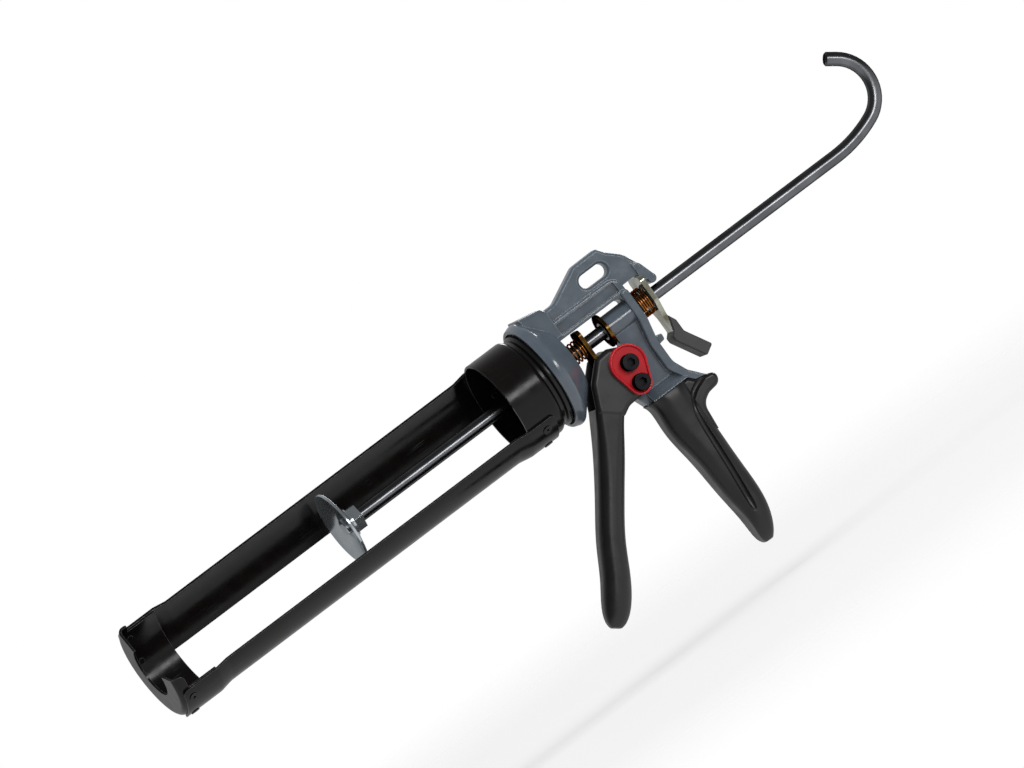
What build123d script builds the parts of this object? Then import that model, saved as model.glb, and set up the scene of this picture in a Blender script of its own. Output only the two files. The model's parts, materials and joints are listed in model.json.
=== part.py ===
from build123d import *
import os
from math import atan2, cos, degrees, hypot, pi, radians, sin, sqrt, tan

# Sizes in millimetres. X runs along the barrel from the muzzle to the hook, Z is up and the
# handle hangs down. The origin is on the rod's axis, at the rear face of the cradle's cup.

# Cradle
CARTRIDGE_DIA = 50.0
CRADLE_LENGTH = 234.0
SHEET = 1.2
CUP_DEPTH = 20.0
CUP_EDGE_R = 3.0
CAP_SKIRT_DEPTH = 22.5
CAP_HORN_DEPTH = 6.0
CAP_HOLE_DIA = 26.0
LOADING_ANGLE = 137.0
CAP_SKIRT_ARC = 204.0
CAP_HORN_ARC = 17.0
CAP_HORN_R = 3.0
RAIL_ARC = 59.0
RAIL_SPREAD = 107.5
RAIL_JOGGLE = 7.0
RAIL_CORNER_R = 2.5
RAIL_REAR_GAP = 5.8
RAIL_FRONT_GAP = 1.6
RIVET_DIA = 3.0
RIVET_HEAD_DIA = 4.6
RIVET_HEAD_HEIGHT = 0.4
RIVET_DIMPLE_DIA = 1.8
RIVET_DIMPLE_DEPTH = 0.9
RIVET_ARC = 34.0
RIVET_EDGE = 6.0
LAP_CLEARANCE = 0.05

# Swivel
HUB_DIA = 16.0
HUB_FLANGE_DIA = 28.0
HUB_FLANGE_THICKNESS = 1.8
HUB_TAIL = 0.5
COLLAR_NECK_DIA = 46.0
COLLAR_BEAD_DIA = 51.2
COLLAR_TAIL_DIA = 48.4
COLLAR_NECK_LENGTH = 2.2
COLLAR_BEAD_LENGTH = 3.2
COLLAR_LENGTH = 8.9
CLIP_THICKNESS = 1.0
CLIP_WIDTH = 1.7
CLIP_GROOVE_DEPTH = 1.0
CLIP_GAP_ARC = 60.0

# Rod and piston
ROD_DIA = 7.0
HOOK_START = 188.7
HOOK_EASE_R = 68.7
HOOK_EASE_TURN = 21.9
HOOK_R = 18.7
HOOK_TURN = 145.0
HOOK_TAIL = 6.0
ROD_CHAMFER = 0.8
DISC_RIM_X = -119.3
DISC_DIA = 40.0
DISC_DISH = 4.0
DISC_FLAT_DIA = 16.0
DISC_SHEET = 1.5
DISC_WASHER_DIA = 15.0
DISC_WASHER_THICKNESS = 1.0
DISC_NUT_ACROSS = 12.0
DISC_NUT_HEIGHT = 5.0
DISC_SCREW_DIA = 4.0
DISC_SCREW_HEAD_DIA = 9.0
DISC_SCREW_HEAD_HEIGHT = 2.2
DISC_SCREW_GRIP = 12.0

# Casting
EDGE_BEVEL = 1.2
EDGE_ROUND = 0.8
REAR_WALL = 4.2
RIB_TOP = 11.0
RIB_BACK = 61.6
RIB_DEPTH = 4.4
TANG_X = 71.6
SHELF_FRONT = 42.0
SHELF_TOP = -35.4
SHELF_SLOPE = 5.2
SLEEVE_TOP = -41.3
LUG_X = 66.3
LUG_HALF = 3.0
EYE_BORDER = 6.0
KEEPER_REACH = 4.4
KEEPER_NOSE_Z = 7.1
KEEPER_NOSE_R = 2.4
KEEPER_HALF = 5.5
HOOD_RIM_X = 4.6
HOOD_CLEARANCE = 1.0
HOOD_LIP = 1.6
HOOD_BULGE_X = 9.0
HOOD_BULGE = 3.2
FRONT_WALL_REAR = 20.5
FRONT_WALL_REAR_R = 17.4
SPINE_HALF = 5.5
EYE_HALF = 4.0
PANEL_HALF = 4.0
RIB_HALF = 8.0
SHELF_HALF = 9.0
HEAD_BLOCK_HALF = 11.0
HEAD_BLOCK_REAR_HALF = 7.0
HEAD_BLOCK_REAR = 24.8
HEAD_BLOCK_ROUND = 1.8
SPINE_TOP = 18.6
CHANNEL_LOW = 10.9
CHANNEL_HIGH = 16.8
CHANNEL_FRONT = 25.0
CHANNEL_REAR = 61.0
CHANNEL_DEPTH = 1.6
CHANNEL_CORNER_R = 1.5
EYE_X = 55.4
EYE_Z = 24.8
EYE_LENGTH = 15.8
EYE_HEIGHT = 7.0
BOSS_DIA = 13.0
BOSS_FRONT = 45.6
REAR_FACE = 64.2
WASHER_DIA = 17.8
WASHER_THICKNESS = 1.6
SPIGOT_DIA = 9.6
CORE_HALF = 6.0
HORN_HALF = 9.0
HORN_ROUND = 2.0
GRIP_LENGTH = 87.0
GRIP_THICKNESS = 24.0
GRIP_ROUNDNESS = 0.42
GROOVE_R = 1.7

# Trigger
PIVOT_X = 41.9
PIVOT_Z = -18.4
CROSS_X = 41.1
CROSS_Z = -29.3
TRIGGER_PULL = 28.0
TRIGGER_HALF = 10.0
FORK_HALF = 7.0
FORK_R = 27.0
TRIGGER_ROUND = 2.5
NOSE_R = 2.6
NOSE_Z = -9.5
PIVOT_BOSS_DIA = 12.0
PIVOT_BOSS_HALF = 6.7
BUSH_DIA = 8.0
BOLT_DIA = 4.0
CROSS_CLEARANCE = 0.5
BOLT_HEAD_DIA = 8.5
BOLT_HEAD_HEIGHT = 5.0
BOLT_HEAD_ROUND = 0.4
BOLT_SOCKET = 4.0
BOLT_SOCKET_DEPTH = 3.0
BOLT_NUT_ACROSS = 7.0
BOLT_NUT_HEIGHT = 3.2
PIVOT_CAP_R = 9.3
PIVOT_CAP_LOW_R = 6.0
PIVOT_CAP_THICKNESS = 3.0
PIVOT_CAP_RIM = 1.2
PIVOT_CAP_RECESS = 1.0
PIVOT_CAP_ROUND = 0.5

# Drive plate, release plate and springs
DRIVE_PLATE_X = 30.9
DRIVE_PLATE_THICKNESS = 2.0
DRIVE_PLATE_WIDTH = 12.6
DRIVE_PLATE_TOP = 8.4
DRIVE_PLATE_BOTTOM = -15.2
DRIVE_PLATE_CORNER_R = 3.0
DRIVE_WIRE = 0.8
DRIVE_COIL_DIA = 10.4
DRIVE_TURNS = 3.5
RELEASE_PLATE_X = 71.0
RELEASE_PLATE_THICKNESS = 2.4
RELEASE_PLATE_WIDTH = 20.0
RELEASE_PLATE_TOP = 12.0
RELEASE_BEND_Z = -23.6
RELEASE_TONGUE = 14.5
RELEASE_TONGUE_WIDTH = 11.0
RELEASE_TAPER_TOP = -2.0
RELEASE_TAPER_BOTTOM = -11.0
RELEASE_TONGUE_ANGLE = 30.0
RELEASE_HOLE_PLAY = 0.5
RELEASE_CORNER_R = 3.0
RELEASE_WIRE = 1.0
RELEASE_COIL_DIA = 14.0
RELEASE_TURNS = 3.0
TAB_WALL = 2.0
TAB_SIDE = 1.2
TAB_TOP = -12.0
TAB_ROUND = 0.8

# Fits
FIT = 0.05
SNUG = 0.02
GAP = 0.3

# Worked out from the sizes above
cup_r = CARTRIDGE_DIA / 2
cup_outer_r = cup_r + SHEET
lap_r = cup_outer_r + LAP_CLEARANCE
cup_mouth = -SHEET - CUP_DEPTH
front_inner = -SHEET - CRADLE_LENGTH
front_outer = front_inner - SHEET
rail_front = front_outer + RAIL_FRONT_GAP
rail_rear = -RAIL_REAR_GAP
rail_angles = {"near": LOADING_ANGLE + RAIL_SPREAD, "far": LOADING_ANGLE - RAIL_SPREAD}
rivet_r = RIVET_DIA / 2
rod_r = ROD_DIA / 2
disc_flat_x = DISC_RIM_X + DISC_DISH
rod_front = disc_flat_x + DISC_SHEET + SNUG
hub_r = HUB_DIA / 2
collar_rear = COLLAR_LENGTH
hood_floor = collar_rear + GAP
clip_front = FRONT_WALL_REAR + GAP
hub_rear = clip_front + CLIP_THICKNESS + HUB_TAIL
drive_plate_rear = DRIVE_PLATE_X + DRIVE_PLATE_THICKNESS
nose_x = drive_plate_rear + GAP + NOSE_R
release_plate_rear = RELEASE_PLATE_X + RELEASE_PLATE_THICKNESS


def radial_plane(angle):
    """Plane through the X axis whose y axis points outward at the angle from +Y toward +Z."""
    normal = (0, -sin(radians(angle)), cos(radians(angle)))
    return Plane(origin=(0, 0, 0), x_dir=(1, 0, 0), z_dir=normal)


def outward_plane(x, angle, radius):
    """Plane at a distance from the X axis, facing straight outward."""
    outward = (0, cos(radians(angle)), sin(radians(angle)))
    return Plane(origin=(x, radius * outward[1], radius * outward[2]), x_dir=(1, 0, 0), z_dir=outward)


def cross_plane(x):
    """Plane across the barrel whose x axis is +Y and y axis is +Z."""
    return Plane(origin=(x, 0, 0), x_dir=(0, 1, 0), z_dir=(1, 0, 0))


def side_plane(y):
    """Plane along the barrel whose x axis is +X and y axis is +Z, facing the near side."""
    return Plane(origin=(0, y, 0), x_dir=(1, 0, 0), z_dir=(0, -1, 0))


def section_plane(middle, heading):
    """Plane across a handle that runs in the XZ plane, with its y axis along Y."""
    length = hypot(*heading)
    along = (heading[0] / length, 0, heading[1] / length)
    return Plane(origin=(middle[0], 0, middle[1]), x_dir=(-along[2], 0, along[0]), z_dir=along)


def rivet_planes(rails, xs, radius):
    """Planes of the rivets that hold the named rails at the given places."""
    turns = (-RIVET_ARC / 2, RIVET_ARC / 2)
    angles = [rail_angles[rail] + turn for rail in rails for turn in turns]
    return [outward_plane(x, angle, radius) for angle in angles for x in xs]


def finish(block, node):
    """Names a sub-part and writes its file."""
    block.part.label = node
    export_step(block.part, f"parts/{node}.step")


os.makedirs("parts", exist_ok=True)
rivet_front = front_outer + RIVET_EDGE
rivet_rear = rail_rear - RIVET_EDGE
rivet_hole_r = rivet_r + SNUG

# Cradle: front cap
cap_start = LOADING_ANGLE + 180 - CAP_SKIRT_ARC / 2
with BuildPart() as cradle_front_cap:
    with BuildSketch(radial_plane(cap_start - CAP_HORN_ARC)):
        with BuildLine():
            FilletPolyline(
                (front_outer + CAP_HORN_DEPTH, cup_r),
                (front_outer + CAP_HORN_DEPTH, cup_outer_r),
                (front_outer, cup_outer_r),
                (front_outer, CAP_HOLE_DIA / 2),
                (front_inner, CAP_HOLE_DIA / 2),
                (front_inner, cup_r),
                radius=(0, 0, CUP_EDGE_R, 0, 0, CUP_EDGE_R - SHEET),
                close=True,
            )
        make_face()
    revolve(axis=Axis.X, revolution_arc=CAP_SKIRT_ARC + 2 * CAP_HORN_ARC)
    for horn_end in (cap_start - CAP_HORN_ARC, cap_start + CAP_SKIRT_ARC + CAP_HORN_ARC):
        horn_corner = outward_plane(front_outer + CAP_HORN_DEPTH, horn_end, cup_r + SHEET / 2)
        fillet(cradle_front_cap.edges().sort_by_distance(horn_corner.origin)[0], CAP_HORN_R)
    with BuildSketch(radial_plane(cap_start)):
        with BuildLine():
            Polyline(
                (front_outer + CAP_HORN_DEPTH, cup_r),
                (front_outer + CAP_SKIRT_DEPTH, cup_r),
                (front_outer + CAP_SKIRT_DEPTH, cup_outer_r),
                (front_outer + CAP_HORN_DEPTH, cup_outer_r),
                close=True,
            )
        make_face()
    revolve(axis=Axis.X, revolution_arc=CAP_SKIRT_ARC)
    with BuildSketch(*rivet_planes(rail_angles, (rivet_front,), cup_r - SHEET)):
        Circle(rivet_hole_r)
    extrude(amount=3 * SHEET, mode=Mode.SUBTRACT)
finish(cradle_front_cap, "cradle_front_cap")


def rail_side(radius):
    """Corner points of one face of a rail, joggled outward at both ends over the cap and cup."""
    cap_end = front_outer + CAP_SKIRT_DEPTH + GAP
    cup_end = cup_mouth - GAP
    lapped = radius + lap_r - cup_r
    return [
        (rail_front, lapped),
        (cap_end, lapped),
        (cap_end + RAIL_JOGGLE, radius),
        (cup_end - RAIL_JOGGLE, radius),
        (cup_end, lapped),
        (rail_rear, lapped),
    ]


# Cradle: the two rails
for rail, angle in rail_angles.items():
    with BuildPart() as cradle_rail:
        with BuildSketch(radial_plane(angle - RAIL_ARC / 2)):
            with BuildLine():
                inner = FilletPolyline(rail_side(cup_r), radius=RAIL_JOGGLE)
                outer = FilletPolyline(rail_side(cup_r + SHEET), radius=RAIL_JOGGLE)
                Line(inner @ 0, outer @ 0)
                Line(inner @ 1, outer @ 1)
            make_face()
        revolve(axis=Axis.X, revolution_arc=RAIL_ARC)
        ends = cradle_rail.faces().sort_by(Axis.X)
        corners = [e for face in (ends[0], ends[-1]) for e in face.edges() if e.geom_type == GeomType.LINE]
        fillet(corners, RAIL_CORNER_R)
        with BuildSketch(*rivet_planes((rail,), (rivet_front, rivet_rear), cup_r - SHEET)):
            Circle(rivet_hole_r)
        extrude(amount=5 * SHEET, mode=Mode.SUBTRACT)
    finish(cradle_rail, f"cradle_rail_{rail}")

# Cradle: rear cup
with BuildPart() as cradle_cup:
    with BuildSketch(radial_plane(0)):
        with BuildLine():
            FilletPolyline(
                (cup_mouth, cup_r),
                (cup_mouth, cup_outer_r),
                (0, cup_outer_r),
                (0, hub_r + FIT),
                (-SHEET, hub_r + FIT),
                (-SHEET, cup_r),
                radius=(0, SHEET / 4, CUP_EDGE_R, 0, 0, CUP_EDGE_R - SHEET),
                close=True,
            )
        make_face()
    revolve(axis=Axis.X)
    with BuildSketch(*rivet_planes(rail_angles, (rivet_rear,), cup_r - SHEET)):
        Circle(rivet_hole_r)
    extrude(amount=3 * SHEET, mode=Mode.SUBTRACT)
finish(cradle_cup, "cradle_cup")

# Cradle: rivets, as one node
rail_outer_r = lap_r + SHEET
with BuildPart() as rail_rivets:
    with BuildSketch(*rivet_planes(rail_angles, (rivet_front, rivet_rear), cup_r - SHEET / 4)):
        Circle(rivet_r)
    extrude(amount=rail_outer_r - cup_r + SHEET / 2)
    with BuildSketch(*rivet_planes(rail_angles, (rivet_front, rivet_rear), rail_outer_r + FIT)):
        Circle(RIVET_HEAD_DIA / 2)
    extrude(amount=RIVET_HEAD_HEIGHT)
    dimple_r = rail_outer_r + FIT + RIVET_HEAD_HEIGHT - RIVET_DIMPLE_DEPTH
    with BuildSketch(*rivet_planes(rail_angles, (rivet_front, rivet_rear), dimple_r)):
        Circle(RIVET_DIMPLE_DIA / 2)
    extrude(amount=2 * RIVET_DIMPLE_DEPTH, mode=Mode.SUBTRACT)
finish(rail_rivets, "rail_rivets")

# Swivel: collar, hub and clip
collar_bead_front = COLLAR_NECK_LENGTH
collar_bead_rear = COLLAR_NECK_LENGTH + COLLAR_BEAD_LENGTH
with BuildPart() as swivel_collar:
    with BuildSketch(radial_plane(0)):
        with BuildLine():
            FilletPolyline(
                (SNUG, hub_r + FIT),
                (SNUG, COLLAR_NECK_DIA / 2),
                (collar_bead_front, COLLAR_NECK_DIA / 2),
                (collar_bead_front, COLLAR_BEAD_DIA / 2),
                (collar_bead_rear, COLLAR_BEAD_DIA / 2),
                (collar_bead_rear, COLLAR_TAIL_DIA / 2),
                (collar_rear, COLLAR_TAIL_DIA / 2),
                (collar_rear, hub_r + FIT),
                radius=(0, 0, 0.8, 1.2, 1.2, 0.6, 0.6, 0),
                close=True,
            )
        make_face()
    revolve(axis=Axis.X)
finish(swivel_collar, "swivel_collar")

with BuildPart() as swivel_hub:
    with BuildSketch(radial_plane(0)):
        with BuildLine():
            groove_r = hub_r - CLIP_GROOVE_DEPTH
            Polyline(
                (-SHEET - HUB_FLANGE_THICKNESS, rod_r + FIT),
                (-SHEET - HUB_FLANGE_THICKNESS, HUB_FLANGE_DIA / 2),
                (-SHEET - SNUG, HUB_FLANGE_DIA / 2),
                (-SHEET - SNUG, hub_r),
                (clip_front - SNUG, hub_r),
                (clip_front - SNUG, groove_r),
                (clip_front + CLIP_THICKNESS + SNUG, groove_r),
                (clip_front + CLIP_THICKNESS + SNUG, hub_r),
                (hub_rear, hub_r),
                (hub_rear, rod_r + FIT),
                close=True,
            )
        make_face()
    revolve(axis=Axis.X)
finish(swivel_hub, "swivel_hub")

with BuildPart() as swivel_clip:
    with BuildSketch(radial_plane(CLIP_GAP_ARC / 2 - 90)):
        with BuildLine():
            clip_inner = hub_r - CLIP_GROOVE_DEPTH + SNUG
            Polyline(
                (clip_front, clip_inner),
                (clip_front, clip_inner + CLIP_WIDTH),
                (clip_front + CLIP_THICKNESS, clip_inner + CLIP_WIDTH),
                (clip_front + CLIP_THICKNESS, clip_inner),
                close=True,
            )
        make_face()
    revolve(axis=Axis.X, revolution_arc=360 - CLIP_GAP_ARC)
finish(swivel_clip, "swivel_clip")

# Rod with its hook
screw_r = DISC_SCREW_DIA / 2
with BuildPart() as push_rod:
    with BuildLine(side_plane(0)) as hook_line:
        stem = Line((rod_front, 0), (HOOK_START, 0))
        ease = JernArc(stem @ 1, stem % 1, HOOK_EASE_R, HOOK_EASE_TURN)
        bow = JernArc(ease @ 1, ease % 1, HOOK_R, HOOK_TURN - HOOK_EASE_TURN)
        tail = PolarLine(bow @ 1, HOOK_TAIL, direction=bow % 1)
    with BuildSketch(cross_plane(rod_front)):
        Circle(rod_r)
    sweep(path=hook_line.wire())
    rod_length = hook_line.wire().length
    print("rod volume", round(push_rod.part.volume), "expected", round(pi * rod_r**2 * rod_length))
    chamfer(push_rod.faces().sort_by_distance(tail @ 1)[0].edges(), ROD_CHAMFER)
    with BuildSketch(cross_plane(rod_front)):
        Circle(screw_r + SNUG)
    extrude(amount=DISC_SCREW_GRIP, mode=Mode.SUBTRACT)
finish(push_rod, "push_rod")

# Piston disc and its fasteners
disc_r = DISC_DIA / 2
flat_r = DISC_FLAT_DIA / 2
with BuildPart() as piston_disc:
    with BuildSketch(radial_plane(0)):
        with BuildLine():
            FilletPolyline(
                (disc_flat_x, screw_r + SNUG),
                (disc_flat_x, flat_r),
                (DISC_RIM_X, disc_r),
                (DISC_RIM_X + DISC_SHEET, disc_r),
                (disc_flat_x + DISC_SHEET, flat_r),
                (disc_flat_x + DISC_SHEET, screw_r + SNUG),
                radius=(0, 3, 0.4, 0.4, 3, 0),
                close=True,
            )
        make_face()
    revolve(axis=Axis.X)
finish(piston_disc, "piston_disc")

washer_front = rod_front
with BuildPart() as disc_washer:
    with BuildSketch(cross_plane(washer_front)):
        Circle(DISC_WASHER_DIA / 2)
        Circle(rod_r + SNUG, mode=Mode.SUBTRACT)
    extrude(amount=DISC_WASHER_THICKNESS)
finish(disc_washer, "disc_washer")

nut_front = washer_front + DISC_WASHER_THICKNESS + SNUG
with BuildPart() as disc_nut:
    with BuildSketch(cross_plane(nut_front)):
        RegularPolygon(DISC_NUT_ACROSS / 2, 6, major_radius=False)
        Circle(rod_r + SNUG, mode=Mode.SUBTRACT)
    extrude(amount=DISC_NUT_HEIGHT)
finish(disc_nut, "disc_nut")

with BuildPart() as disc_screw:
    with BuildSketch(cross_plane(disc_flat_x - SNUG)):
        Circle(DISC_SCREW_HEAD_DIA / 2)
    extrude(amount=-DISC_SCREW_HEAD_HEIGHT)
    fillet(disc_screw.edges().group_by(Axis.X)[0], DISC_SCREW_HEAD_HEIGHT * 0.6)
    with BuildSketch(cross_plane(disc_flat_x - SNUG)):
        Circle(screw_r)
    extrude(amount=DISC_SHEET + DISC_SCREW_GRIP)
finish(disc_screw, "disc_screw")

# Casting outlines, seen from the near side
pivot = (PIVOT_X, PIVOT_Z)
cross = (CROSS_X, CROSS_Z)
cross_reach = hypot(CROSS_X - PIVOT_X, CROSS_Z - PIVOT_Z)
cross_angle = degrees(atan2(CROSS_Z - PIVOT_Z, CROSS_X - PIVOT_X))
hood_inner_r = COLLAR_BEAD_DIA / 2 + HOOD_CLEARANCE
hood_rim_r = hood_inner_r + HOOD_LIP
hood_bulge_r = hood_inner_r + HOOD_BULGE
rear_wall_front = REAR_FACE - REAR_WALL
spine_underside = WASHER_DIA / 2 + GAP
keeper_front = release_plate_rear + GAP
keeper_roof = RELEASE_PLATE_TOP + 2 * GAP
eye_top = EYE_Z + EYE_HEIGHT / 2 + EYE_BORDER
eye_rear = EYE_X + EYE_LENGTH / 2
keeper_nose = (keeper_front + KEEPER_REACH, KEEPER_NOSE_Z)

head_front = HOOD_BULGE_X + 1.2
head_block_points = [
    (head_front, spine_underside + 2),
    (head_front, hood_bulge_r),
    (HEAD_BLOCK_REAR - 1.8, 27.6),
    (HEAD_BLOCK_REAR, 25.2),
    (HEAD_BLOCK_REAR, spine_underside + 2),
]
head_block_plan = [
    (head_front, -HEAD_BLOCK_HALF),
    (HEAD_BLOCK_REAR, -HEAD_BLOCK_REAR_HALF),
    (HEAD_BLOCK_REAR, HEAD_BLOCK_REAR_HALF),
    (head_front, HEAD_BLOCK_HALF),
]
eye_points = [
    (FRONT_WALL_REAR - 2, SPINE_TOP - 2),
    (FRONT_WALL_REAR - 2, 25.4),
    (31.0, 25.4),
    (49.5, eye_top),
    (eye_rear + 0.6, eye_top + 0.2),
    (67.0, 30.4),
    (73.6, 24.4),
    (77.6, 16.0),
    (keeper_nose[0] + KEEPER_NOSE_R, keeper_nose[1]),
    (keeper_nose[0], keeper_nose[1]),
    (keeper_front, keeper_nose[1] + 2),
    (keeper_front, keeper_roof),
    (REAR_FACE, keeper_roof),
    (rear_wall_front, SPINE_TOP - 2),
]
eye_radii = [0, 0, 6, 6, 2, 4, 8, 8, 0, 0, 0, 0, 0, 0]
spine_points = [
    (FRONT_WALL_REAR - 2, spine_underside),
    (rear_wall_front, spine_underside),
    (rear_wall_front, -6.0),
    (REAR_FACE, -6.0),
    (REAR_FACE, SPINE_TOP),
    (FRONT_WALL_REAR - 2, SPINE_TOP),
]
spine_radii = [0, 4, 0, 0, 6, 0]
rib_points = [
    (REAR_FACE, RIB_TOP),
    (REAR_FACE, -6.0),
    (RIB_BACK, -18.5),
    (RIB_BACK, -31.0),
    (65.0, -38.5),
    (TANG_X, SLEEVE_TOP - 4.6),
    (65.2, SLEEVE_TOP - 3.3),
    (62.2, SLEEVE_TOP),
    (RIB_BACK - RIB_DEPTH, -33.0),
    (RIB_BACK - RIB_DEPTH, -18.5),
    (rear_wall_front, -5.0),
    (rear_wall_front, RIB_TOP),
]
rib_radii = [2, 12, 12, 8, 4, 0, 0, 0, 8, 12, 12, 2]
panel_points = [
    (BOSS_FRONT + 1, -1.0),
    (rear_wall_front + 1, -1.0),
    (RIB_BACK - 1, -18.5),
    (RIB_BACK - 1, -33.0),
    (62.2, SLEEVE_TOP),
    (39.4, SLEEVE_TOP),
    (36.4, -34.0),
    (36.0, -18.4),
    (40.5, -12.4),
    (BOSS_FRONT + 1, -11.0),
]
panel_radii = [0, 0, 6, 6, 0, 0, 3, 4, 3, 3]
keeper_points = [
    (keeper_front, keeper_roof + 6),
    (77.0, keeper_roof + 5),
    (keeper_nose[0] + KEEPER_NOSE_R, keeper_nose[1]),
    (keeper_nose[0], keeper_nose[1]),
    (keeper_front, keeper_nose[1] + 2),
]
keeper_radii = [0, 4, 0, 0, 0]
shelf_points = [
    (-SHELF_HALF, SLEEVE_TOP),
    (SHELF_HALF, SLEEVE_TOP),
    (SHELF_HALF - SHELF_SLOPE, SHELF_TOP),
    (SHELF_SLOPE - SHELF_HALF, SHELF_TOP),
]
core_bottom = SLEEVE_TOP - 0.79 * GRIP_LENGTH
core_points = [
    (45.0, SLEEVE_TOP + 1),
    (57.4, SLEEVE_TOP + 1),
    (56.8, -75.0),
    (55.2, core_bottom),
    (50.4, core_bottom),
    (45.6, -66.0),
]
lug_points = [
    (RIB_BACK - 1, -16.6),
    (LUG_X, -17.0),
    (LUG_X - 0.4, -20.4),
    (RIB_BACK - 1, -21.2),
]


def side_edges(block, half):
    """Edges that lie in the two side faces at this half width."""
    flat = block.edges().filter_by(lambda e: e.bounding_box().size.Y < SNUG)
    return flat.filter_by(lambda e: abs(abs(e.center().Y) - half) < SNUG)


def on_block_top(edge):
    """True for an edge along the top of the block behind the hood."""
    return edge.center().Z > SPINE_TOP and edge.bounding_box().max.X > head_front + SNUG


def behind_plate(edge):
    """True for an edge of the keeper, behind the release plate."""
    return edge.bounding_box().min.X > keeper_front + SNUG


# Frame: block behind the hood, which is cast in one with the frame
with BuildPart() as head_block:
    with BuildSketch(side_plane(0)):
        Polygon(*head_block_points, align=None)
    extrude(amount=HEAD_BLOCK_HALF, both=True)
    with BuildSketch(Plane.XY):
        Polygon(*head_block_plan, align=None)
    extrude(amount=2 * hood_bulge_r, mode=Mode.INTERSECT)
    fillet(head_block.edges().filter_by(on_block_top), HEAD_BLOCK_ROUND)

# Frame: casting
with BuildPart() as frame_casting:
    with BuildSketch(side_plane(0)):
        with BuildLine():
            FilletPolyline(eye_points, radius=eye_radii, close=True)
        make_face()
        with Locations((EYE_X, EYE_Z)):
            SlotOverall(EYE_LENGTH, EYE_HEIGHT, mode=Mode.SUBTRACT)
    extrude(amount=EYE_HALF, both=True)
    upper = [e for e in side_edges(frame_casting, EYE_HALF) if e.bounding_box().min.Z > KEEPER_NOSE_Z + 1]
    chamfer([e for e in upper if e.center().Z > SPINE_TOP], EDGE_BEVEL)
    with BuildSketch(side_plane(0)):
        with BuildLine():
            FilletPolyline(spine_points, radius=spine_radii, close=True)
        make_face()
    extrude(amount=SPINE_HALF, both=True)
    fillet(side_edges(frame_casting, SPINE_HALF), EDGE_ROUND)
    with BuildSketch(side_plane(0)):
        with BuildLine():
            FilletPolyline(rib_points, radius=rib_radii, close=True)
        make_face()
    extrude(amount=RIB_HALF, both=True)
    fillet(side_edges(frame_casting, RIB_HALF), EDGE_ROUND)
    for side in (-1, 1):
        with BuildSketch(side_plane(side * (SPINE_HALF - CHANNEL_DEPTH))):
            with Locations(((CHANNEL_FRONT + CHANNEL_REAR) / 2, (CHANNEL_LOW + CHANNEL_HIGH) / 2)):
                RectangleRounded(CHANNEL_REAR - CHANNEL_FRONT, CHANNEL_HIGH - CHANNEL_LOW, CHANNEL_CORNER_R)
        extrude(amount=-side * CHANNEL_DEPTH * 2, mode=Mode.SUBTRACT)
    with BuildSketch(side_plane(0)):
        with BuildLine():
            FilletPolyline(keeper_points, radius=keeper_radii, close=True)
        make_face()
        with Locations(keeper_nose):
            Circle(KEEPER_NOSE_R)
    extrude(amount=KEEPER_HALF, both=True)
    fillet(side_edges(frame_casting, KEEPER_HALF).filter_by(behind_plate), EDGE_ROUND)
    with BuildSketch(side_plane(0)):
        with BuildLine():
            FilletPolyline(panel_points, radius=panel_radii, close=True)
        make_face()
    extrude(amount=PANEL_HALF, both=True)
    with BuildSketch(cross_plane(SHELF_FRONT)):
        Polygon(*shelf_points, align=None)
    extrude(amount=RIB_BACK + 1 - SHELF_FRONT)
    with BuildSketch(side_plane(0)):
        Polygon(*core_points, align=None)
    extrude(amount=CORE_HALF, both=True)
    with BuildSketch(side_plane(0)):
        with BuildLine():
            FilletPolyline(lug_points, radius=(0, 1, 1, 0), close=True)
        make_face()
    extrude(amount=LUG_HALF, both=True)
    with BuildSketch(side_plane(0)):
        with Locations(pivot):
            Circle(PIVOT_BOSS_DIA / 2)
    extrude(amount=PIVOT_BOSS_HALF, both=True)
    with BuildSketch(cross_plane(BOSS_FRONT)):
        Circle(BOSS_DIA / 2)
    extrude(amount=rear_wall_front + 1 - BOSS_FRONT)
    with BuildSketch(cross_plane(BOSS_FRONT)):
        Circle(SPIGOT_DIA / 2)
    extrude(amount=-WASHER_THICKNESS)
    add(head_block.part)
    with BuildSketch(radial_plane(0)):
        with BuildLine():
            FilletPolyline(
                (HOOD_RIM_X, hood_inner_r),
                (HOOD_RIM_X, hood_rim_r),
                (HOOD_BULGE_X, hood_bulge_r),
                (FRONT_WALL_REAR, FRONT_WALL_REAR_R),
                (FRONT_WALL_REAR, hub_r + FIT),
                (hood_floor, hub_r + FIT),
                (hood_floor, hood_inner_r),
                radius=(0, HOOD_LIP / 3, 3, 2, 0, 0, 1),
                close=True,
            )
        make_face()
    revolve(axis=Axis.X)
    with BuildSketch(cross_plane(FRONT_WALL_REAR)):
        Circle(hub_r + FIT)
    extrude(amount=-FRONT_WALL_REAR, mode=Mode.SUBTRACT)
    with BuildSketch(cross_plane(HOOD_RIM_X)):
        Circle(hood_inner_r)
    extrude(amount=hood_floor - HOOD_RIM_X, mode=Mode.SUBTRACT)
    with BuildSketch(cross_plane(BOSS_FRONT - WASHER_THICKNESS)):
        Circle(rod_r + FIT)
    extrude(amount=REAR_FACE, mode=Mode.SUBTRACT)
    with BuildSketch(side_plane(0)):
        with Locations(pivot):
            Circle(BUSH_DIA / 2 + SNUG)
        with BuildLine():
            swing = CenterArc(pivot, cross_reach, cross_angle - 2, TRIGGER_PULL + 4)
        SlotArc(swing, BOLT_DIA + 2 * CROSS_CLEARANCE)
    extrude(amount=RIB_HALF, both=True, mode=Mode.SUBTRACT)
finish(frame_casting, "frame_casting")

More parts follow.
